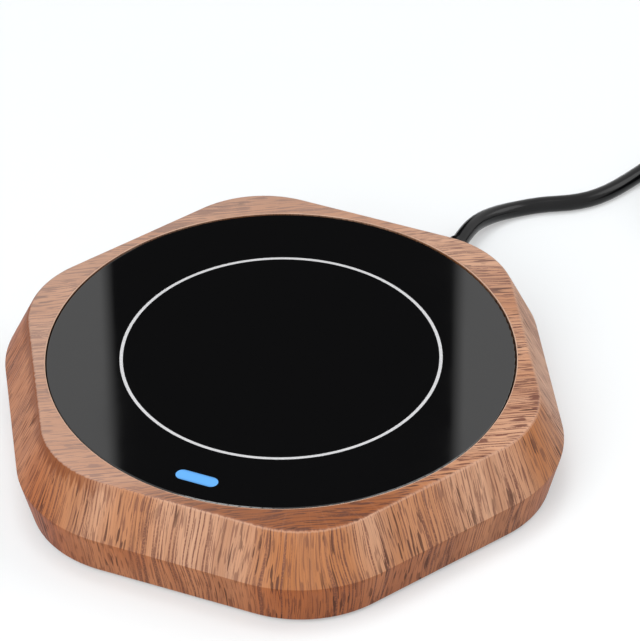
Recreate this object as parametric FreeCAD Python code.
"""Electric mug warmer: a six-sided wood-grain housing with a sprung, heated glass plate.

Millimetres. +Z is up and z = 0 is the table. The origin is under the middle of the housing. The indicator is at
the front, on -Y, and the mains cord leaves through the back wall, on +Y.
"""
import FreeCAD, Part
import math
import os

# Housing outline: a rounded hexagon at three heights, with flat sides facing 30, 90, 150 ... degrees
foot_height = 1.0
housing_height = 25.8
widest_above_bottom = 12.3
rim_width = 3.0
upper_flare = 6.5
lower_taper = 3.3
top_corner = 26.0
widest_corner = 34.0
bottom_corner = 29.0
top_edge_round = 1.2
widest_edge_round = 0.5
bottom_edge_round = 0.6
housing_wall = 2.0
lip_thickness = 2.2

# Base cover and what fastens it
cover_thickness = 2.2
cover_gap = 0.2
post_radius = 3.0
post_gap = 0.5
base_screw_radius = 1.25
base_screw_length = 11.0
base_screw_head_radius = 2.4
base_screw_head_height = 1.3
screw_gap = 0.1
foot_radius = 6.0
foot_to_screw = 4.9
foot_recess = 0.6
vent_count = 7
vent_pitch = 4.2
vent_length = 22.0
vent_width = 1.6

# Glass plate and its printed marks
glass_radius = 59.0
glass_thickness = 3.0
glass_below_top = 0.2
glass_edge_round = 0.5
glass_gap = 0.4
ring_radius = 40.1
ring_width = 0.8
mark_depth = 0.3
mark_gap = 0.02
window_length = 11.0
window_width = 3.6

# Sprung carrier of the plate
plate_travel = 1.0
stop_gap = 0.1
carrier_rim = 1.3
carrier_floor = 1.4
carrier_glass_gap = 0.1
seal_thickness = 0.4
seal_width = 4.1
seal_inset = 0.4
window_to_seal = 1.2
pin_radius = 1.5
pin_to_clamp = 1.5
pin_length = 15.8
pin_run_gap = 0.08
pin_boss_radius = 4.0
pin_boss_height = 1.8
sleeve_radius = 3.0
sleeve_length = 7.8
spring_wire_radius = 0.35
spring_radius = 2.15
spring_turns = 5
spring_end_gap = 0.05

# Heating stack under the glass
spreader_to_boss = 0.7
spreader_thickness = 2.0
spreader_gap = 0.4
element_inset = 3.0
element_thickness = 0.8
element_pin_radius = 0.8
element_pin_length = 3.6
element_pin_spacing = 4.0
element_pins_x = -14.0
element_pins_inset = 6.0
pin_hole_radius = 1.6
pad_inset = 1.0
pad_thickness = 1.4
clamp_to_guide = 2.2
clamp_thickness = 0.8
clamp_screw_inset = 2.5
clamp_boss_radius = 2.3
clamp_screw_radius = 1.0
clamp_screw_head_radius = 1.9
clamp_screw_head_height = 1.3
clamp_screw_length = 3.2
sensor_radius = 3.0
sensor_flange_radius = 5.0
sensor_flange_thickness = 0.8
sensor_tail = 1.6
fuse_radius = 1.75
fuse_length = 10.0
fuse_lead_radius = 0.4
fuse_lead_length = 5.0
fuse_y = 20.0
clip_wall = 0.6
clip_gap = 0.05
clip_length = 4.0

# Light guide and lamp
guide_gap = 0.2
guide_collar = 1.2
guide_collar_thickness = 1.0
guide_to_lamp = 1.4
led_board_length = 18.0
led_board_width = 9.0
led_board_thickness = 1.2
led_board_above_floor = 4.8
led_size = 5.0
led_height = 2.0
led_post_radius = 2.2

# Micro switch under the plate
switch_from_carrier_edge = 10.4
switch_length = 20.0
switch_width = 6.4
switch_height = 10.0
plunger_y = -5.0
plunger_radius = 1.2
plunger_above_switch = 1.05
plunger_inside = 3.2
plunger_run_gap = 0.08
plunger_to_post = 0.05
actuator_radius = 2.5
tab_length = 3.3
tab_width = 2.4
tab_thickness = 0.5
tab_spacing = 7.0
tab_above_floor = 2.3

# Control board
board_length = 64.0
board_width = 44.0
board_thickness = 1.6
board_x = 2.0
board_y = 2.0
board_above_floor = 1.6
board_hole_inset = 3.5
board_post_radius = 3.0
board_screw_radius = 1.1
board_screw_head_radius = 2.2
board_screw_head_height = 1.2
board_screw_length = 4.2
relay_size = (19.0, 11.0, 9.2)
relay_from_board_end = 16.0
relay_y = 3.0
dropper_size = (13.0, 6.0, 9.0)
dropper_place = (-5.0, 5.0)
smoothing_radius = 2.5
smoothing_height = 7.0
smoothing_place = (-17.0, -3.0)
chip_size = (8.0, 6.0, 1.8)
chip_place = (1.0, -7.0)
terminal_size = (10.0, 7.5, 8.0)
supply_terminal_place = (12.0, 18.0)
heater_terminal_place = (-14.0, 18.0)
sensor_terminal_place = (18.0, -14.0)
terminal_mouth_radius = 1.4
terminal_mouth_depth = 3.0
terminal_wire_spacing = 4.0
connector_size = (12.0, 5.0, 6.0)
connector_place = (-14.0, -15.0)

# Mains cord
cord_diameter = 4.4
cord_exit_x = 14.2
cord_exit_z = 5.8
relief_outside = 17.5
relief_stand_off = 2.8
relief_base_radius = 3.8
relief_tip_radius = 2.8
relief_neck_radius = 3.1
relief_neck_gap = 0.1
relief_flange_radius = 4.4
relief_flange_thickness = 1.6
relief_ribs = 5
relief_rib_width = 1.1
relief_rib_depth = 0.35
inner_cord_length = 17.2
core_radius = 0.7
clamp_bar_inset = 9.2
clamp_bar_length = 18.0
clamp_bar_width = 7.0
clamp_bar_thickness = 2.0
clamp_bar_screw_spacing = 12.0
clamp_bar_screw_radius = 1.1
clamp_bar_screw_length = 7.0
signal_wire_radius = 0.45
power_wire_radius = 0.6
wire_straight = 6.0
wire_slope = 8.0
wire_rise = 3.0
wire_end_gap = 0.1

# The cord's route from the strain relief to the coil, laid out by hand. It falls to the table and lies on it
# in a gentle double bend.
cord_lead_points = [
    (14.2, 85.5, 5.8),
    (14.2, 91.5, 5.8),
    (14.8, 98.5, 4.6),
    (17.3, 105.0, 3.3),
    (21.6, 110.7, 2.3),
    (27.2, 115.2, 2.3),
    (35.1, 119.3, 2.3),
    (40.9, 125.3, 2.3),
    (45.8, 135.8, 2.3),
]

# The rest of the cord, wound in two layers and tied
coil_centre = (88.3, 145.0)
coil_mean_radius = 26.0
coil_turns = 6.4
coil_pitch = 5.1
coil_entry_angle = 150.0
coil_first_layer_z = 3.2
coil_entry_run = 13.5
coil_end_run = 6.0
tie_angle = 270.0
tie_width = 4.0
tie_thickness = 0.6
tie_gap = 0.3

# Two-blade plug
plug_relief_length = 24.0
plug_relief_base_radius = 4.6
plug_relief_tip_radius = 2.9
plug_length = 25.0
plug_width = 21.0
plug_edge_round = 2.5
blade_spacing = 12.7
blade_width = 6.3
blade_thickness = 1.5
blade_length = 16.5
blade_socket = 8.0

# Widths that follow from the sizes above
top_apothem = glass_radius + rim_width
widest_apothem = top_apothem + upper_flare
bottom_apothem = widest_apothem - lower_taper
carrier_radius = glass_radius + carrier_glass_gap + carrier_rim
seal_outer_radius = glass_radius - seal_inset
seal_inner_radius = seal_outer_radius - seal_width
window_place_radius = seal_inner_radius - window_to_seal - window_width / 2
clamp_radius = window_place_radius - window_width / 2 - clamp_to_guide
clamp_screw_place_radius = clamp_radius - clamp_screw_inset
pin_place_radius = clamp_radius + pin_to_clamp + sleeve_radius
spreader_radius = clamp_screw_place_radius - clamp_boss_radius - spreader_to_boss
pad_radius = spreader_radius - pad_inset
element_radius = spreader_radius - element_inset
element_pins_y = element_radius - element_pins_inset
post_place_radius = carrier_radius + post_gap + post_radius
foot_place_radius = post_place_radius - foot_to_screw - foot_radius
switch_x = switch_from_carrier_edge - carrier_radius
relay_x = board_x + board_length / 2 - relay_from_board_end
inner_wall_y = bottom_apothem - housing_wall
relief_outer_start = bottom_apothem + relief_stand_off
relief_end_y = relief_outer_start + relief_outside
inner_cord_end_y = inner_wall_y - inner_cord_length
clamp_bar_y = inner_wall_y - clamp_bar_inset

# Heights that follow from the sizes above
housing_bottom = foot_height
widest_z = housing_bottom + widest_above_bottom
housing_top = housing_bottom + housing_height
lip_bottom = housing_top - lip_thickness
cover_top = housing_bottom + cover_thickness
glass_top = housing_top - glass_below_top
glass_bottom = glass_top - glass_thickness
carrier_floor_top = glass_bottom - seal_thickness
carrier_floor_bottom = carrier_floor_top - carrier_floor
carrier_top = lip_bottom - stop_gap
spreader_bottom = glass_bottom - spreader_thickness
element_bottom = spreader_bottom - element_thickness
pad_bottom = element_bottom - pad_thickness
clamp_bottom = pad_bottom - clamp_thickness
sleeve_bottom = carrier_floor_bottom - sleeve_length
pin_boss_top = cover_top + pin_boss_height
led_board_bottom = cover_top + led_board_above_floor
led_board_top = led_board_bottom + led_board_thickness
led_top = led_board_top + led_height
guide_bottom = led_top + guide_to_lamp
switch_top = cover_top + switch_height
plunger_top = switch_top + plunger_above_switch
actuator_bottom = plunger_top + plunger_to_post
board_bottom = cover_top + board_above_floor
board_top = board_bottom + board_thickness
cord_radius = cord_diameter / 2
cord_turn_gap_least = 0.4
wire_height = board_top + terminal_size[2] / 2

SIDE_ANGLES = [30 + 60 * i for i in range(6)]
CORNER_ANGLES = [60 * i for i in range(6)]
QUARTER_ANGLES = [0, 90, 180, 270]
PIN_ANGLES = [45, 135, 225, 315]
UP = FreeCAD.Vector(0, 0, 1)
BACKWARD = FreeCAD.Vector(0, 1, 0)


def at_angle(radius, degrees, z=0.0):
    """A point at a distance and an angle round the vertical axis."""
    turn = math.radians(degrees)
    return FreeCAD.Vector(radius * math.cos(turn), radius * math.sin(turn), z)


def rounded_hexagon(apothem, corner, z):
    """A closed wire of six straight sides joined by six arcs."""
    half_side = (apothem - corner) * math.tan(math.radians(30))
    corner_centre = (apothem - corner) / math.cos(math.radians(30))
    edges = []
    for angle in SIDE_ANGLES:
        along = at_angle(1, angle + 90)
        middle = at_angle(apothem, angle, z)
        start = middle - along * half_side
        end = middle + along * half_side
        edges.append(Part.LineSegment(start, end).toShape())
        centre = at_angle(corner_centre, angle + 30, z)
        bulge = centre + at_angle(corner, angle + 30)
        next_along = at_angle(1, angle + 150)
        next_start = at_angle(apothem, angle + 60, z) - next_along * half_side
        edges.append(Part.Arc(end, bulge, next_start).toShape())
    return Part.Wire(edges)


def outline_at(z):
    """Apothem and corner radius of the housing's outside at a height."""
    if z <= widest_z:
        share = (z - housing_bottom) / (widest_z - housing_bottom)
        low = (bottom_apothem, bottom_corner)
        high = (widest_apothem, widest_corner)
    else:
        share = (z - widest_z) / (housing_top - widest_z)
        low = (widest_apothem, widest_corner)
        high = (top_apothem, top_corner)
    return tuple(a + share * (b - a) for a, b in zip(low, high))


def hexagon_solid(heights, inset=0.0):
    """A solid through the housing's outline at some heights, set in by a distance."""
    wires = []
    for z in heights:
        apothem, corner = outline_at(z)
        wires.append(rounded_hexagon(apothem - inset, corner - inset, z))
    return Part.makeLoft(wires, True, True)


def disc(radius, z_low, z_high, x=0.0, y=0.0):
    """A round disc or post between two heights."""
    return Part.makeCylinder(radius, z_high - z_low, FreeCAD.Vector(x, y, z_low))


def tube(outer, inner, z_low, z_high, x=0.0, y=0.0):
    """A ring or sleeve between two heights."""
    return disc(outer, z_low, z_high, x, y).cut(disc(inner, z_low, z_high, x, y))


def block(size, x, y, z_low):
    """A box centred on x and y that stands on z_low."""
    corner = FreeCAD.Vector(x - size[0] / 2, y - size[1] / 2, z_low)
    return Part.makeBox(size[0], size[1], size[2], corner)


def pill(length, width, x, y, z_low, z_high):
    """A slab with round ends, long in X."""
    radius = width / 2
    half = length / 2 - radius
    left = disc(radius, z_low, z_high, x - half, y)
    right = disc(radius, z_low, z_high, x + half, y)
    middle = block((2 * half, width, z_high - z_low), x, y, z_low)
    return left.fuse([middle, right]).removeSplitter()


def upright_edges(shape, size):
    """The edges of a box that stand upright and are as long as the given size."""
    found = []
    for edge in shape.Edges:
        box = edge.BoundBox
        if box.ZLength > size - 0.01 and box.XLength + box.YLength < 0.01:
            found.append(edge)
    return found


def screw(x, y, z_seat, shank_radius, length, head_radius, head_height, upward):
    """A pan-head screw with a cross recess. z_seat is where the head meets its seat."""
    way = 1 if upward else -1
    shank = Part.makeCylinder(shank_radius, length, FreeCAD.Vector(x, y, z_seat), UP * way)
    head = Part.makeCylinder(head_radius, head_height, FreeCAD.Vector(x, y, z_seat), UP * -way)
    head_face = z_seat - way * head_height
    slot_depth = head_height * 0.5
    slot_low = min(head_face, head_face + way * slot_depth)
    slot_width = head_radius * 0.3
    slot_length = head_radius * 1.2
    slots = [
        block((slot_length, slot_width, slot_depth), x, y, slot_low),
        block((slot_width, slot_length, slot_depth), x, y, slot_low),
    ]
    return shank.fuse(head).removeSplitter().cut(slots[0].fuse(slots[1]))


def run_and_arc_path(points):
    """Edges and least radius of straight runs joined by tangent arcs, as large as the two runs allow."""
    corners = [FreeCAD.Vector(*p) for p in points]
    edges = []
    radii = []
    last = corners[0]
    for before, here, after in zip(corners, corners[1:], corners[2:]):
        back = (before - here).normalize()
        ahead = (after - here).normalize()
        half_turn = (math.pi - back.getAngle(ahead)) / 2
        reach = 0.45 * min((before - here).Length, (after - here).Length)
        radii.append(reach / math.tan(half_turn))
        start = here + back * reach
        end = here + ahead * reach
        towards = (back + ahead).normalize()
        bulge = here + towards * (radii[-1] / math.cos(half_turn) - radii[-1])
        edges.append(Part.LineSegment(last, start).toShape())
        edges.append(Part.Arc(start, bulge, end).toShape())
        last = end
    edges.append(Part.LineSegment(last, corners[-1]).toShape())
    return edges, radii


def swept(edges, radius):
    """A round tube along joined edges."""
    path = Part.Wire(edges)
    first = edges[0]
    start = first.valueAt(first.FirstParameter)
    along = first.tangentAt(first.FirstParameter)
    section = Part.Wire([Part.makeCircle(radius, start, along)])
    return path.makePipeShell([section], True, False)


def wire_run(points, radius):
    """A wire or cord along straight runs joined by arcs."""
    edges, radii = run_and_arc_path(points)
    return swept(edges, radius)


def arc_by_corner(start, corner, end):
    """The arc that leaves start towards corner and arrives at end from it."""
    chord_middle = (start + end) * 0.5
    half_chord = (end - start).Length / 2
    rise = (corner - chord_middle).Length
    if rise < 1e-6:
        return Part.LineSegment(start, end).toShape()
    bulge = half_chord * math.tan(math.atan2(rise, half_chord) / 2)
    middle = chord_middle + (corner - chord_middle) * (bulge / rise)
    return Part.Arc(start, middle, end).toShape()


def biarc(start, start_way, end, end_way):
    """Two tangent arcs between two points with given directions."""
    span = end - start
    both = start_way + end_way
    bend = 2 * (1 - start_way.dot(end_way))
    reach_now = span.dot(both)
    if bend < 1e-9:
        reach = span.dot(span) / (4 * span.dot(end_way))
    else:
        reach = (-reach_now + math.sqrt(reach_now**2 + bend * span.dot(span))) / bend
    near = start + start_way * reach
    far = end - end_way * reach
    joint = (near + far) * 0.5
    return [arc_by_corner(start, near, joint), arc_by_corner(joint, far, end)]


def biarc_edges(places, ways):
    """Biarcs through a row of places with a direction at each."""
    edges = []
    for i in range(len(places) - 1):
        edges.extend(biarc(places[i], ways[i], places[i + 1], ways[i + 1]))
    return edges


def wood_grain_shell():
    """The housing: a hollow rounded hexagon, open below, with a round mouth for the plate."""
    outside = hexagon_solid([housing_bottom, widest_z, housing_top])
    outside = round_outer_edges(outside)
    cavity = hexagon_solid([housing_bottom, widest_z, lip_bottom], housing_wall)
    shell = outside.cut(cavity)
    shell = shell.cut(disc(glass_radius + glass_gap, lip_bottom - 1, housing_top + 1))
    posts = []
    for angle in CORNER_ANGLES:
        place = at_angle(post_place_radius, angle)
        posts.append(disc(post_radius, cover_top, lip_bottom, place.x, place.y))
    shell = shell.fuse(posts).removeSplitter()
    pilots = []
    for angle in CORNER_ANGLES:
        place = at_angle(post_place_radius, angle)
        pilot_top = cover_top + base_screw_length
        pilots.append(disc(base_screw_radius + screw_gap, cover_top - 1, pilot_top, place.x, place.y))
    inlet_start = FreeCAD.Vector(cord_exit_x, bottom_apothem - 3 * housing_wall, cord_exit_z)
    inlet = Part.makeCylinder(relief_neck_radius + relief_neck_gap, 6 * housing_wall, inlet_start, BACKWARD)
    return shell.cut(pilots[0].fuse(pilots[1:] + [inlet]))


def round_outer_edges(outside):
    """Rounds the housing's top, widest and bottom edges."""
    by_height = {
        housing_top: top_edge_round,
        widest_z: widest_edge_round,
        housing_bottom: bottom_edge_round,
    }
    for height, radius in by_height.items():
        edges = []
        for edge in outside.Edges:
            box = edge.BoundBox
            if abs(box.ZMin - height) < 0.01 and abs(box.ZMax - height) < 0.01:
                edges.append(edge)
        outside = outside.makeFillet(radius, edges)
    return outside


def base_cover():
    """The bottom plate, with bosses for the pins and boards and seats for screws and feet."""
    apothem = bottom_apothem - housing_wall - cover_gap
    corner = bottom_corner - housing_wall - cover_gap
    outline = Part.Face(rounded_hexagon(apothem, corner, housing_bottom))
    cover = outline.extrude(FreeCAD.Vector(0, 0, cover_thickness))
    bosses = []
    for angle in PIN_ANGLES:
        place = at_angle(pin_place_radius, angle)
        bosses.append(disc(pin_boss_radius, cover_top, pin_boss_top, place.x, place.y))
    for x, y in board_hole_places():
        bosses.append(disc(board_post_radius, cover_top, board_bottom, x, y))
    for x in led_post_places():
        bosses.append(disc(led_post_radius, cover_top, led_board_bottom, x, -window_place_radius))
    for x in clamp_bar_screw_places():
        bosses.append(disc(clamp_bar_width / 2, cover_top, clamp_bar_seat(), x, clamp_bar_y))
    cover = cover.fuse(bosses).removeSplitter()
    holes = []
    for angle in CORNER_ANGLES:
        place = at_angle(post_place_radius, angle)
        seat = housing_bottom + base_screw_head_height
        holes.append(disc(base_screw_radius + screw_gap, seat, cover_top + 1, place.x, place.y))
        holes.append(disc(base_screw_head_radius + screw_gap, housing_bottom, seat, place.x, place.y))
        foot = at_angle(foot_place_radius, angle)
        holes.append(disc(foot_radius + screw_gap, housing_bottom, housing_bottom + foot_recess, foot.x, foot.y))
    for i in range(vent_count):
        y = (i - (vent_count - 1) / 2) * vent_pitch
        holes.append(pill(vent_length, vent_width, 0, y, housing_bottom, cover_top))
    for angle in PIN_ANGLES:
        place = at_angle(pin_place_radius, angle)
        holes.append(disc(pin_radius, cover_top, pin_boss_top, place.x, place.y))
    for x, y in board_hole_places():
        depth = board_screw_length - board_thickness + screw_gap
        holes.append(disc(board_screw_radius + screw_gap, board_bottom - depth, board_bottom, x, y))
    for x in clamp_bar_screw_places():
        seat = clamp_bar_seat()
        depth = clamp_bar_screw_length - clamp_bar_thickness + screw_gap
        holes.append(disc(clamp_bar_screw_radius + screw_gap, seat - depth, seat, x, clamp_bar_y))
    return cover.cut(holes[0].fuse(holes[1:]))


def base_screws():
    """Six screws from below into the housing's corner posts."""
    screws = []
    for angle in CORNER_ANGLES:
        place = at_angle(post_place_radius, angle)
        seat = housing_bottom + base_screw_head_height
        screws.append(screw(place.x, place.y, seat, base_screw_radius, base_screw_length,
                            base_screw_head_radius, base_screw_head_height, True))
    return screws


def rubber_feet():
    """Six feet let into the base cover."""
    feet = []
    for angle in CORNER_ANGLES:
        place = at_angle(foot_place_radius, angle)
        foot = disc(foot_radius, 0, housing_bottom + foot_recess, place.x, place.y)
        rim = [e for e in foot.Edges if e.BoundBox.ZMax < 0.01]
        feet.append(foot.makeFillet(foot_height * 0.4, rim))
    return feet


def glass_plate():
    """The round glass, with shallow seats for the printed ring and the window."""
    glass = disc(glass_radius, glass_bottom, glass_top)
    rim = [e for e in glass.Edges if e.BoundBox.ZMin > glass_top - 0.01]
    glass = glass.makeFillet(glass_edge_round, rim)
    low = glass_top - mark_depth
    outer = ring_radius + ring_width / 2
    inner = ring_radius - ring_width / 2
    groove = tube(outer + mark_gap, inner - mark_gap, low, glass_top + 1)
    length = window_length + 2 * mark_gap
    width = window_width + 2 * mark_gap
    seat = pill(length, width, 0, -window_place_radius, low, glass_top + 1)
    return glass.cut(groove).cut(seat)


def ring_inlay():
    """The light ring round the heat zone."""
    outer = ring_radius + ring_width / 2
    inner = ring_radius - ring_width / 2
    return tube(outer, inner, glass_top - mark_depth, glass_top)


def indicator_window():
    """The pill-shaped window over the lamp."""
    return pill(window_length, window_width, 0, -window_place_radius, glass_top - mark_depth, glass_top)


def glass_seal():
    """The silicone ring that the glass lies on."""
    return tube(seal_outer_radius, seal_inner_radius, carrier_floor_top, glass_bottom)


def plate_carrier():
    """The moulded ring under the glass, with four sleeves, four screw bosses and the switch post."""
    floor = tube(carrier_radius, spreader_radius + spreader_gap, carrier_floor_bottom, carrier_floor_top)
    rim = tube(carrier_radius, glass_radius + carrier_glass_gap, carrier_floor_top, carrier_top)
    added = [rim]
    for angle in PIN_ANGLES:
        place = at_angle(pin_place_radius, angle)
        added.append(disc(sleeve_radius, sleeve_bottom, carrier_floor_bottom, place.x, place.y))
    for angle in QUARTER_ANGLES:
        place = at_angle(clamp_screw_place_radius, angle)
        added.append(disc(clamp_boss_radius, pad_bottom, carrier_floor_bottom, place.x, place.y))
    added.append(disc(actuator_radius, actuator_bottom, carrier_floor_bottom, switch_x, plunger_y))
    carrier = floor.fuse(added).removeSplitter()
    holes = []
    for angle in PIN_ANGLES:
        place = at_angle(pin_place_radius, angle)
        holes.append(disc(pin_radius + pin_run_gap, sleeve_bottom, carrier_floor_bottom, place.x, place.y))
    for angle in QUARTER_ANGLES:
        place = at_angle(clamp_screw_place_radius, angle)
        hole_top = clamp_bottom + clamp_screw_length + screw_gap
        holes.append(disc(clamp_screw_radius + screw_gap, pad_bottom, hole_top, place.x, place.y))
    length = window_length + 2 * guide_gap
    width = window_width + 2 * guide_gap
    holes.append(pill(length, width, 0, -window_place_radius, carrier_floor_bottom, carrier_floor_top))
    return carrier.cut(holes[0].fuse(holes[1:]))


def heat_spreader():
    """The aluminium disc bonded under the glass."""
    return disc(spreader_radius, spreader_bottom, glass_bottom)


def element_pin_places():
    half = element_pin_spacing / 2
    return [(element_pins_x - half, element_pins_y), (element_pins_x + half, element_pins_y)]


def heating_element():
    """The flat element with its two connecting pins. The probe passes through its middle."""
    element = tube(element_radius, sensor_radius + guide_gap, element_bottom, spreader_bottom)
    for x, y in element_pin_places():
        element = element.fuse(disc(element_pin_radius, element_bottom - element_pin_length, element_bottom, x, y))
    return element.removeSplitter()


def insulation_pad():
    """The pad that keeps the heat up, with holes for the probe and the element's pins."""
    pad = tube(pad_radius, sensor_radius + guide_gap, pad_bottom, element_bottom)
    for x, y in element_pin_places():
        pad = pad.cut(disc(pin_hole_radius, pad_bottom, element_bottom, x, y))
    return pad


def heater_clamp():
    """The steel disc that presses the stack up against the glass."""
    clamp = tube(clamp_radius, sensor_radius + guide_gap, clamp_bottom, pad_bottom)
    holes = []
    for x, y in element_pin_places():
        holes.append(disc(pin_hole_radius, clamp_bottom, pad_bottom, x, y))
    for angle in QUARTER_ANGLES:
        place = at_angle(clamp_screw_place_radius, angle)
        holes.append(disc(clamp_screw_radius + screw_gap, clamp_bottom, pad_bottom, place.x, place.y))
    return clamp.cut(holes[0].fuse(holes[1:]))


def clamp_screws():
    """Four screws from below through the clamp into the carrier."""
    screws = []
    for angle in QUARTER_ANGLES:
        place = at_angle(clamp_screw_place_radius, angle)
        screws.append(screw(place.x, place.y, clamp_bottom, clamp_screw_radius, clamp_screw_length,
                            clamp_screw_head_radius, clamp_screw_head_height, True))
    return screws


def temperature_sensor():
    """The probe through the middle of the stack, with a flange under the clamp."""
    probe = disc(sensor_radius, clamp_bottom, spreader_bottom)
    flange = disc(sensor_flange_radius, clamp_bottom - sensor_flange_thickness, clamp_bottom)
    tail = disc(sensor_radius, clamp_bottom - sensor_tail, clamp_bottom - sensor_flange_thickness)
    return probe.fuse([flange, tail]).removeSplitter()


def fuse_axis_z():
    """The fuse lies close under the clamp."""
    return clamp_bottom - fuse_radius - clip_gap


def thermal_fuse():
    """The round fuse with a lead at each end."""
    along = FreeCAD.Vector(1, 0, 0)
    start = FreeCAD.Vector(-fuse_length / 2, fuse_y, fuse_axis_z())
    body = Part.makeCylinder(fuse_radius, fuse_length, start, along)
    lead_start = start - along * fuse_lead_length
    lead = Part.makeCylinder(fuse_lead_radius, fuse_length + 2 * fuse_lead_length, lead_start, along)
    return body.fuse(lead).removeSplitter()


def fuse_clip():
    """The bent strap that holds the fuse to the clamp."""
    reach = fuse_radius + clip_gap + clip_wall
    height = clamp_bottom - (fuse_axis_z() - reach)
    strap = block((clip_length, 2 * reach, height), 0, fuse_y, clamp_bottom - height)
    bore_start = FreeCAD.Vector(-clip_length / 2, fuse_y, fuse_axis_z())
    bore = Part.makeCylinder(reach - clip_wall, clip_length, bore_start, FreeCAD.Vector(1, 0, 0))
    slot = block((clip_length, 2 * (reach - clip_wall), reach), 0, fuse_y, fuse_axis_z())
    return strap.cut(bore.fuse(slot))


def led_light_guide():
    """The clear bar that carries the lamp's light up to the window."""
    bar = pill(window_length, window_width, 0, -window_place_radius, guide_bottom, glass_bottom)
    wide = window_length + 2 * guide_collar
    deep = window_width + 2 * guide_collar
    collar_bottom = carrier_floor_bottom - guide_collar_thickness
    collar = pill(wide, deep, 0, -window_place_radius, collar_bottom, carrier_floor_bottom)
    return bar.fuse(collar).removeSplitter()


def guide_pins():
    """Four pins pressed into the base cover."""
    pins = []
    for angle in PIN_ANGLES:
        place = at_angle(pin_place_radius, angle)
        pin = disc(pin_radius, cover_top, cover_top + pin_length, place.x, place.y)
        top = [e for e in pin.Edges if e.BoundBox.ZMin > cover_top + pin_length - 0.01]
        pins.append(pin.makeChamfer(pin_radius * 0.25, top))
    return pins


def plate_springs():
    """Four wound springs between the pin bosses and the carrier's sleeves."""
    low = pin_boss_top + spring_wire_radius + spring_end_gap
    high = sleeve_bottom - spring_wire_radius - spring_end_gap
    steps = spring_turns * 4
    springs = []
    for angle in PIN_ANGLES:
        centre = at_angle(pin_place_radius, angle)
        places = []
        ways = []
        for i in range(steps + 1):
            turn = i * 90.0
            rise = (high - low) / (spring_turns * 2 * math.pi * spring_radius)
            places.append(centre + at_angle(spring_radius, turn, low + (high - low) * i / steps))
            ways.append((at_angle(1, turn + 90) + UP * rise).normalize())
        springs.append(swept(biarc_edges(places, ways), spring_wire_radius))
    return springs


def micro_switch_body():
    """The switch's case on the base cover, with the plunger's bore."""
    case = block((switch_width, switch_length, switch_height), switch_x, 0, cover_top)
    case = case.makeFillet(0.4, upright_edges(case, switch_height))
    bore_low = switch_top - plunger_inside - plate_travel - stop_gap
    return case.cut(disc(plunger_radius + plunger_run_gap, bore_low, switch_top, switch_x, plunger_y))


def micro_switch_terminals():
    """Three flat tabs that stand out of the switch's side."""
    x = switch_x + switch_width / 2 + tab_length / 2
    size = (tab_length, tab_width, tab_thickness)
    return [block(size, x, i * tab_spacing, cover_top + tab_above_floor) for i in (-1, 0, 1)]


def micro_switch_plunger():
    """The switch's plunger, which the carrier's post presses."""
    plunger = disc(plunger_radius, switch_top - plunger_inside, plunger_top, switch_x, plunger_y)
    top = [e for e in plunger.Edges if e.BoundBox.ZMin > plunger_top - 0.01]
    return plunger.makeFillet(plunger_radius * 0.25, top)


def board_hole_places():
    across = board_length / 2 - board_hole_inset
    deep = board_width / 2 - board_hole_inset
    return [(board_x + i * across, board_y + j * deep) for i in (-1, 1) for j in (-1, 1)]


def control_board():
    """The main circuit board on four posts."""
    board = block((board_length, board_width, board_thickness), board_x, board_y, board_bottom)
    board = board.makeFillet(2.0, upright_edges(board, board_thickness))
    for x, y in board_hole_places():
        board = board.cut(disc(board_screw_radius + screw_gap, board_bottom, board_top, x, y))
    return board


def board_screws():
    """Four screws of the main board."""
    screws = []
    for x, y in board_hole_places():
        screws.append(screw(x, y, board_top, board_screw_radius, board_screw_length,
                            board_screw_head_radius, board_screw_head_height, False))
    return screws


def power_relay():
    """The relay that switches the element."""
    relay = block(relay_size, relay_x, relay_y, board_top)
    return relay.makeFillet(0.5, upright_edges(relay, relay_size[2]))


def dropper_capacitor():
    """The film capacitor that feeds the low-voltage side."""
    box = block(dropper_size, dropper_place[0], dropper_place[1], board_top)
    return box.makeFillet(0.5, upright_edges(box, dropper_size[2]))


def smoothing_capacitor():
    """A small round capacitor."""
    can = disc(smoothing_radius, board_top, board_top + smoothing_height, *smoothing_place)
    top = [e for e in can.Edges if e.BoundBox.ZMin > board_top + smoothing_height - 0.01]
    return can.makeFillet(0.4, top)


def controller_chip():
    """The controller's case with its two rows of legs."""
    body_size = (chip_size[0], chip_size[1] * 0.65, chip_size[2])
    chip = block(body_size, chip_place[0], chip_place[1], board_top)
    leg_count = 4
    pitch = chip_size[0] / leg_count
    leg_size = (pitch * 0.35, chip_size[1], chip_size[2] * 0.4)
    for i in range(leg_count):
        x = chip_place[0] + (i - (leg_count - 1) / 2) * pitch
        chip = chip.fuse(block(leg_size, x, chip_place[1], board_top))
    return chip.removeSplitter()


def terminal_block(place, way):
    """A two-way terminal whose two mouths face the given direction."""
    case = block(terminal_size, place[0], place[1], board_top)
    side = FreeCAD.Vector(-way.y, way.x, 0)
    half = abs(way.x) * terminal_size[0] / 2 + abs(way.y) * terminal_size[1] / 2
    for i in (-0.5, 0.5):
        face = FreeCAD.Vector(place[0], place[1], wire_height) + way * half + side * (i * terminal_wire_spacing)
        start = face - way * terminal_mouth_depth
        case = case.cut(Part.makeCylinder(terminal_mouth_radius, terminal_mouth_depth, start, way))
    return case


def wire_terminals():
    """Three two-way terminals: supply, heater and probe."""
    return [
        terminal_block(supply_terminal_place, BACKWARD),
        terminal_block(heater_terminal_place, BACKWARD),
        terminal_block(sensor_terminal_place, FreeCAD.Vector(-1, 0, 0)),
    ]


def signal_connector():
    """The small connector for the switch and the lamp."""
    return block(connector_size, connector_place[0], connector_place[1], board_top)


def led_post_places():
    offset = led_board_length / 2 - led_post_radius
    return (-offset, offset)


def led_board():
    """The small board under the light guide."""
    size = (led_board_length, led_board_width, led_board_thickness)
    return block(size, 0, -window_place_radius, led_board_bottom)


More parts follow.
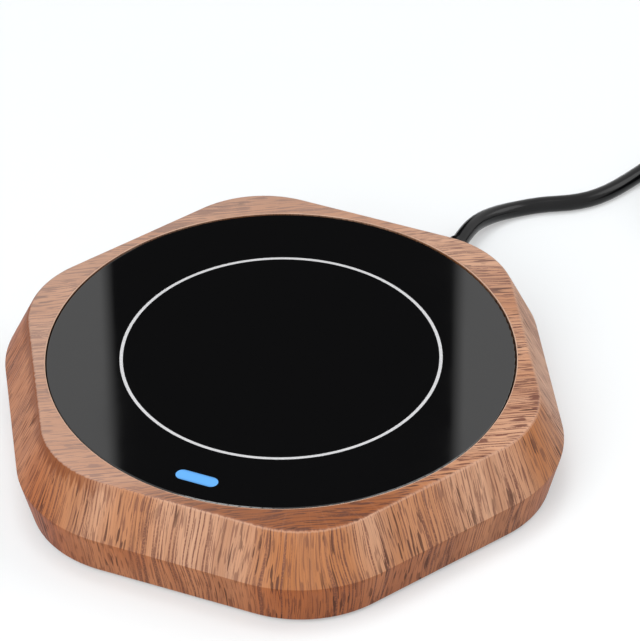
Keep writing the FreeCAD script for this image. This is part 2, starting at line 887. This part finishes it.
def indicator_led():
    """The lamp."""
    size = (led_size, led_size * 0.7, led_height)
    return block(size, 0, -window_place_radius, led_board_top)


def terminal_mouth_floor(place):
    """Where a wire ends inside a terminal that faces the back."""
    return place[1] + terminal_size[1] / 2 - terminal_mouth_depth


def supply_leads():
    """The cord's two cores, from the end of its sheath to the supply terminal."""
    leads = []
    half = terminal_wire_spacing / 2
    for side in (-1, 1):
        x_cord = cord_exit_x + side * core_radius * 1.4
        x_end = supply_terminal_place[0] + side * half
        y_end = terminal_mouth_floor(supply_terminal_place)
        points = [
            (x_cord, inner_cord_end_y, cord_exit_z),
            (x_cord, inner_cord_end_y - wire_straight, cord_exit_z),
            (x_end, inner_cord_end_y - wire_straight - wire_slope, wire_height),
            (x_end, y_end, wire_height),
        ]
        leads.append(wire_run(points, core_radius))
    return leads


def heater_leads():
    """Two leads from the heater terminal up to the element's pins."""
    leads = []
    half = terminal_wire_spacing / 2
    pins = element_pin_places()
    for side, (x_pin, y_pin) in zip((-1, 1), pins):
        x_start = heater_terminal_place[0] + side * half
        y_start = terminal_mouth_floor(heater_terminal_place)
        points = [
            (x_start, y_start, wire_height),
            (x_start, y_pin - wire_straight / 2, wire_height),
            (x_pin, y_pin, wire_height + wire_rise),
            (x_pin, y_pin, element_bottom - element_pin_length - wire_end_gap),
        ]
        leads.append(wire_run(points, power_wire_radius))
    return leads


def sensor_leads():
    """Two thin leads from the probe to its terminal."""
    leads = []
    x_end = sensor_terminal_place[0] - terminal_size[0] / 2 + terminal_mouth_depth
    for side in (-1, 1):
        x_start = side * sensor_radius * 0.4
        y_end = sensor_terminal_place[1] - side * terminal_wire_spacing / 2
        points = [
            (x_start, 0, clamp_bottom - sensor_tail - wire_end_gap),
            (x_start, 0, wire_height + wire_rise),
            (x_end - wire_straight, y_end, wire_height),
            (x_end, y_end, wire_height),
        ]
        leads.append(wire_run(points, signal_wire_radius))
    return leads


def switch_leads():
    """Two thin leads from the switch's outer tabs to the signal connector."""
    x_tab = switch_x + switch_width / 2 + tab_length
    z_tab = cover_top + tab_above_floor + tab_thickness / 2
    x_end = connector_place[0] - connector_size[0] / 2
    z_end = board_top + connector_size[2] * 0.6
    leads = []
    for side in (-1, 1):
        y_end = connector_place[1] + side
        points = [
            (x_tab, side * tab_spacing, z_tab),
            (x_tab + wire_straight, side * tab_spacing, z_tab),
            (x_end - wire_slope, y_end, z_end),
            (x_end, y_end, z_end),
        ]
        leads.append(wire_run(points, signal_wire_radius))
    return leads


def led_leads():
    """Two thin leads from the lamp's board to the signal connector."""
    y_start = -window_place_radius + led_board_width / 2
    y_end = connector_place[1] - connector_size[1] / 2
    z_start = led_board_bottom + led_board_thickness / 2
    z_end = board_top + connector_size[2] * 0.6
    leads = []
    for side in (-1, 1):
        x_end = connector_place[0] + terminal_wire_spacing / 2 + side
        points = [
            (side * terminal_wire_spacing / 2, y_start, z_start),
            (side * terminal_wire_spacing / 2, y_start + wire_straight, z_start),
            (x_end, y_end - wire_slope, z_end),
            (x_end, y_end, z_end),
        ]
        leads.append(wire_run(points, signal_wire_radius))
    return leads


def strain_relief():
    """The tapered rubber boot in the back wall, with grooves and an inner flange."""
    flange_start = FreeCAD.Vector(cord_exit_x, inner_wall_y - relief_flange_thickness, cord_exit_z)
    flange = Part.makeCylinder(relief_flange_radius, relief_flange_thickness, flange_start, BACKWARD)
    neck_length = relief_outer_start - inner_wall_y
    neck_start = FreeCAD.Vector(cord_exit_x, inner_wall_y, cord_exit_z)
    neck = Part.makeCylinder(relief_neck_radius, neck_length, neck_start, BACKWARD)
    boot_start = FreeCAD.Vector(cord_exit_x, relief_outer_start, cord_exit_z)
    boot = Part.makeCone(relief_base_radius, relief_tip_radius, relief_outside, boot_start, BACKWARD)
    relief = flange.fuse([neck, boot]).removeSplitter()
    pitch = relief_outside / (relief_ribs + 1)
    for i in range(relief_ribs):
        share = (i + 1) / (relief_ribs + 1)
        radius = relief_base_radius + share * (relief_tip_radius - relief_base_radius) - relief_rib_depth
        start = boot_start + BACKWARD * (pitch * (i + 1) - relief_rib_width / 2)
        outer = Part.makeCylinder(2 * relief_base_radius, relief_rib_width, start, BACKWARD)
        relief = relief.cut(outer.cut(Part.makeCylinder(radius, relief_rib_width, start, BACKWARD)))
    bore = Part.makeCylinder(cord_radius, relief_outside + neck_length + relief_flange_thickness,
                             flange_start, BACKWARD)
    below = Part.makeBox(4 * relief_flange_radius, 2 * relief_flange_radius, cover_top + screw_gap,
                         FreeCAD.Vector(cord_exit_x - 2 * relief_flange_radius,
                                        inner_wall_y - 2 * relief_flange_radius, 0))
    return relief.cut(bore).cut(below)


def cord_inner():
    """The cord inside the housing and its boot."""
    length = relief_end_y - inner_cord_end_y
    start = FreeCAD.Vector(cord_exit_x, inner_cord_end_y, cord_exit_z)
    return Part.makeCylinder(cord_radius, length, start, BACKWARD)


def clamp_bar_seat():
    """The clamp bar lies at the height of the cord's upper third."""
    return cord_exit_z + cord_radius * 0.4


def clamp_bar_screw_places():
    half = clamp_bar_screw_spacing / 2
    return (cord_exit_x - half, cord_exit_x + half)


def cord_clamp():
    """The bar over the cord, grooved to hold it."""
    bar = block((clamp_bar_length, clamp_bar_width, clamp_bar_thickness), cord_exit_x, clamp_bar_y, clamp_bar_seat())
    bar = bar.makeFillet(2.0, upright_edges(bar, clamp_bar_thickness))
    start = FreeCAD.Vector(cord_exit_x, clamp_bar_y - clamp_bar_width, cord_exit_z)
    bar = bar.cut(Part.makeCylinder(cord_radius, 2 * clamp_bar_width, start, BACKWARD))
    for x in clamp_bar_screw_places():
        low = clamp_bar_seat()
        bar = bar.cut(disc(clamp_bar_screw_radius + screw_gap, low, low + clamp_bar_thickness, x, clamp_bar_y))
    return bar


def clamp_bar_screws():
    """The clamp bar's two screws."""
    seat = clamp_bar_seat() + clamp_bar_thickness
    screws = []
    for x in clamp_bar_screw_places():
        screws.append(screw(x, clamp_bar_y, seat, clamp_bar_screw_radius, clamp_bar_screw_length,
                            board_screw_head_radius, board_screw_head_height, False))
    return screws


def coil_place(turned):
    """A point of the coil's centre line after some degrees of winding, clockwise seen from above."""
    half = coil_turns * 180.0
    outer = coil_mean_radius + coil_pitch * coil_turns / 4
    into_climb = half - 90.0
    from_end = min(turned, 2 * half - turned)
    climb = 0.0 if turned < half else 1.0
    radius = outer - coil_pitch * from_end / 360.0
    if abs(turned - half) < 90.0:
        share = (turned - into_climb) / 180.0
        edge = outer - coil_pitch * into_climb / 360.0
        radius = edge - coil_pitch / 2 * (share - share**2)
        climb = share * share * (3 - 2 * share)
    angle = coil_entry_angle - turned
    middle = FreeCAD.Vector(coil_centre[0], coil_centre[1], 0)
    return middle + at_angle(radius, angle, coil_first_layer_z + coil_pitch * climb)


def coil_way(turned):
    """The direction of the coil's centre line."""
    step = 0.01
    whole = coil_turns * 360.0
    low = max(turned - step, 0.0)
    high = min(turned + step, whole)
    return (coil_place(high) - coil_place(low)).normalize()


def coil_steps():
    """Winding angles of the coil's joints: quarter turns, with closer ones where it climbs."""
    whole = coil_turns * 360.0
    start = (coil_turns * 180.0 - 90.0)
    quarter_count = int(start // 90)
    steps = [start / quarter_count * i for i in range(quarter_count + 1)]
    steps += [start + 45.0 * i for i in range(1, 5)]
    steps += [whole - s for s in reversed(steps[:quarter_count])]
    return steps


def coil_end():
    """The coil's last point, after a short straight run, and the way the cord heads there."""
    whole = coil_turns * 360.0
    way = coil_way(whole)
    way = FreeCAD.Vector(way.x, way.y, 0).normalize()
    return coil_place(whole) + way * coil_end_run, way


def coil_edges():
    """The coil's centre line as biarcs, with a straight run at its end."""
    steps = coil_steps()
    places = [coil_place(s) for s in steps]
    ways = [coil_way(s) for s in steps]
    end, way = coil_end()
    ways[-1] = way
    return biarc_edges(places, ways) + [Part.LineSegment(places[-1], end).toShape()]


def cord_coil():
    """The wound part of the cord as one unbroken tube."""
    return swept(coil_edges(), cord_radius)


def print_coil_gap():
    """Measures the least gap of the coil to itself on points along it."""
    step = 6.0
    whole = coil_turns * 360.0
    places = [coil_place(i * step) for i in range(int(whole // step) + 1)]
    skip = int(150 / step)
    least = min((places[i] - places[j]).Length for i in range(len(places)) for j in range(i + skip, len(places)))
    print(f"coil: least gap to itself {least - cord_diameter:.2f} mm, least wanted {cord_turn_gap_least}")


def full_lead_points():
    """The lead's route, with a last straight run into the coil's first point."""
    start = coil_place(0.0)
    before = start - coil_way(0.0) * coil_entry_run
    return cord_lead_points + [tuple(before), tuple(start)]


def cord_lead():
    """The cord from its boot to the coil."""
    edges, radii = run_and_arc_path(full_lead_points())
    lead = swept(edges, cord_radius)
    length = sum(e.Length for e in edges)
    volume = math.pi * cord_radius**2 * length
    print("cord lead radii, mm:", [round(r, 1) for r in radii])
    print(f"cord lead: {length:.1f} mm, volume {lead.Volume:.1f}, section times length {volume:.1f}")
    return lead


def print_cord_length():
    """Prints the length of the whole cord."""
    edges, radii = run_and_arc_path(full_lead_points())
    lead = sum(e.Length for e in edges)
    coil = sum(e.Length for e in coil_edges())
    inner = relief_end_y - inner_cord_end_y
    print(f"cord: inside {inner:.0f}, lead {lead:.0f}, coil {coil:.0f}, outside in all {lead + coil:.0f} mm")


def coil_tie():
    """The band round the coil's turns."""
    radii = []
    heights = []
    for i in range(int(coil_turns) + 2):
        turned = coil_entry_angle - tie_angle + 360.0 * i
        if 0 <= turned <= coil_turns * 360.0:
            place = coil_place(turned)
            middle = FreeCAD.Vector(coil_centre[0], coil_centre[1], place.z)
            radii.append((place - middle).Length)
            heights.append(place.z)
    reach = cord_radius + tie_gap
    inner_low = min(heights) - reach
    inner_high = max(heights) + reach
    near = min(radii) - reach
    far = max(radii) + reach
    size = (far - near + 2 * tie_thickness, tie_width, inner_high - inner_low + 2 * tie_thickness)
    corner = FreeCAD.Vector(near - tie_thickness, -tie_width / 2, inner_low - tie_thickness)
    band = Part.makeBox(*size, corner)
    long_ways = [e for e in band.Edges if e.BoundBox.YLength > tie_width - 0.01]
    band = band.makeFillet(cord_radius, long_ways)
    hole_corner = FreeCAD.Vector(near, -tie_width / 2, inner_low)
    hole = Part.makeBox(far - near, tie_width, inner_high - inner_low, hole_corner)
    long_ways = [e for e in hole.Edges if e.BoundBox.YLength > tie_width - 0.01]
    hole = hole.makeFillet(cord_radius - tie_thickness, long_ways)
    band = band.cut(hole)
    band.rotate(FreeCAD.Vector(0, 0, 0), UP, tie_angle)
    band.translate(FreeCAD.Vector(coil_centre[0], coil_centre[1], 0))
    return band


def plug_strain_relief():
    """The tapered boot of the plug."""
    start, way = coil_end()
    return Part.makeCone(plug_relief_tip_radius, plug_relief_base_radius, plug_relief_length, start, way)


def plug_body():
    """The moulded plug, lying on the table in line with its cord."""
    start, way = coil_end()
    half = start.z
    back = start + way * plug_relief_length
    side = FreeCAD.Vector(-way.y, way.x, 0)
    corner = back - side * (plug_width / 2) - UP * half
    box = Part.makeBox(plug_length, plug_width, 2 * half)
    box = box.makeFillet(plug_edge_round, [e for e in box.Edges if e.BoundBox.XLength > plug_length - 0.01])
    turn = math.degrees(math.atan2(way.y, way.x))
    box.rotate(FreeCAD.Vector(0, 0, 0), UP, turn)
    box.translate(corner)
    for blade in plug_blades():
        box = box.cut(blade)
    return box


def plug_blades():
    """The plug's two flat blades, each running back into its socket in the plug."""
    start, way = coil_end()
    side = FreeCAD.Vector(-way.y, way.x, 0)
    face = start + way * (plug_relief_length + plug_length)
    turn = math.degrees(math.atan2(way.y, way.x))
    blades = []
    for i in (-0.5, 0.5):
        blade = Part.makeBox(blade_length + blade_socket, blade_thickness, blade_width)
        blade.translate(FreeCAD.Vector(-blade_socket, -blade_thickness / 2, -blade_width / 2))
        blade.rotate(FreeCAD.Vector(0, 0, 0), UP, turn)
        blade.translate(face + side * (i * blade_spacing))
        blades.append(blade)
    return blades


NODES = [
    wood_grain_shell, base_cover, base_screws, rubber_feet, guide_pins, plate_springs,
    glass_plate, ring_inlay, indicator_window, glass_seal, plate_carrier, heat_spreader, heating_element,
    insulation_pad, heater_clamp, clamp_screws, temperature_sensor, thermal_fuse, fuse_clip, led_light_guide,
    led_board, indicator_led, led_leads,
    micro_switch_body, micro_switch_terminals, micro_switch_plunger, switch_leads,
    control_board, board_screws, power_relay, dropper_capacitor, smoothing_capacitor, controller_chip,
    wire_terminals, signal_connector, supply_leads, heater_leads, sensor_leads,
    strain_relief, cord_inner, cord_clamp, clamp_bar_screws,
    cord_lead, cord_coil, coil_tie, plug_strain_relief, plug_body, plug_blades,
]


def main():
    """Makes every sub-part and writes it to its own file."""
    os.makedirs("parts", exist_ok=True)
    for make in NODES:
        made = make()
        shape = Part.makeCompound(made) if isinstance(made, list) else made
        shape.exportStep(f"parts/{make.__name__}.step")
        solids = len(shape.Solids)
        state = "" if shape.isValid() and solids > 0 else "  NOT VALID"
        print(f"{make.__name__}: {solids} solids, {shape.Volume:.1f} mm3{state}")
    print_coil_gap()
    print_cord_length()


main()
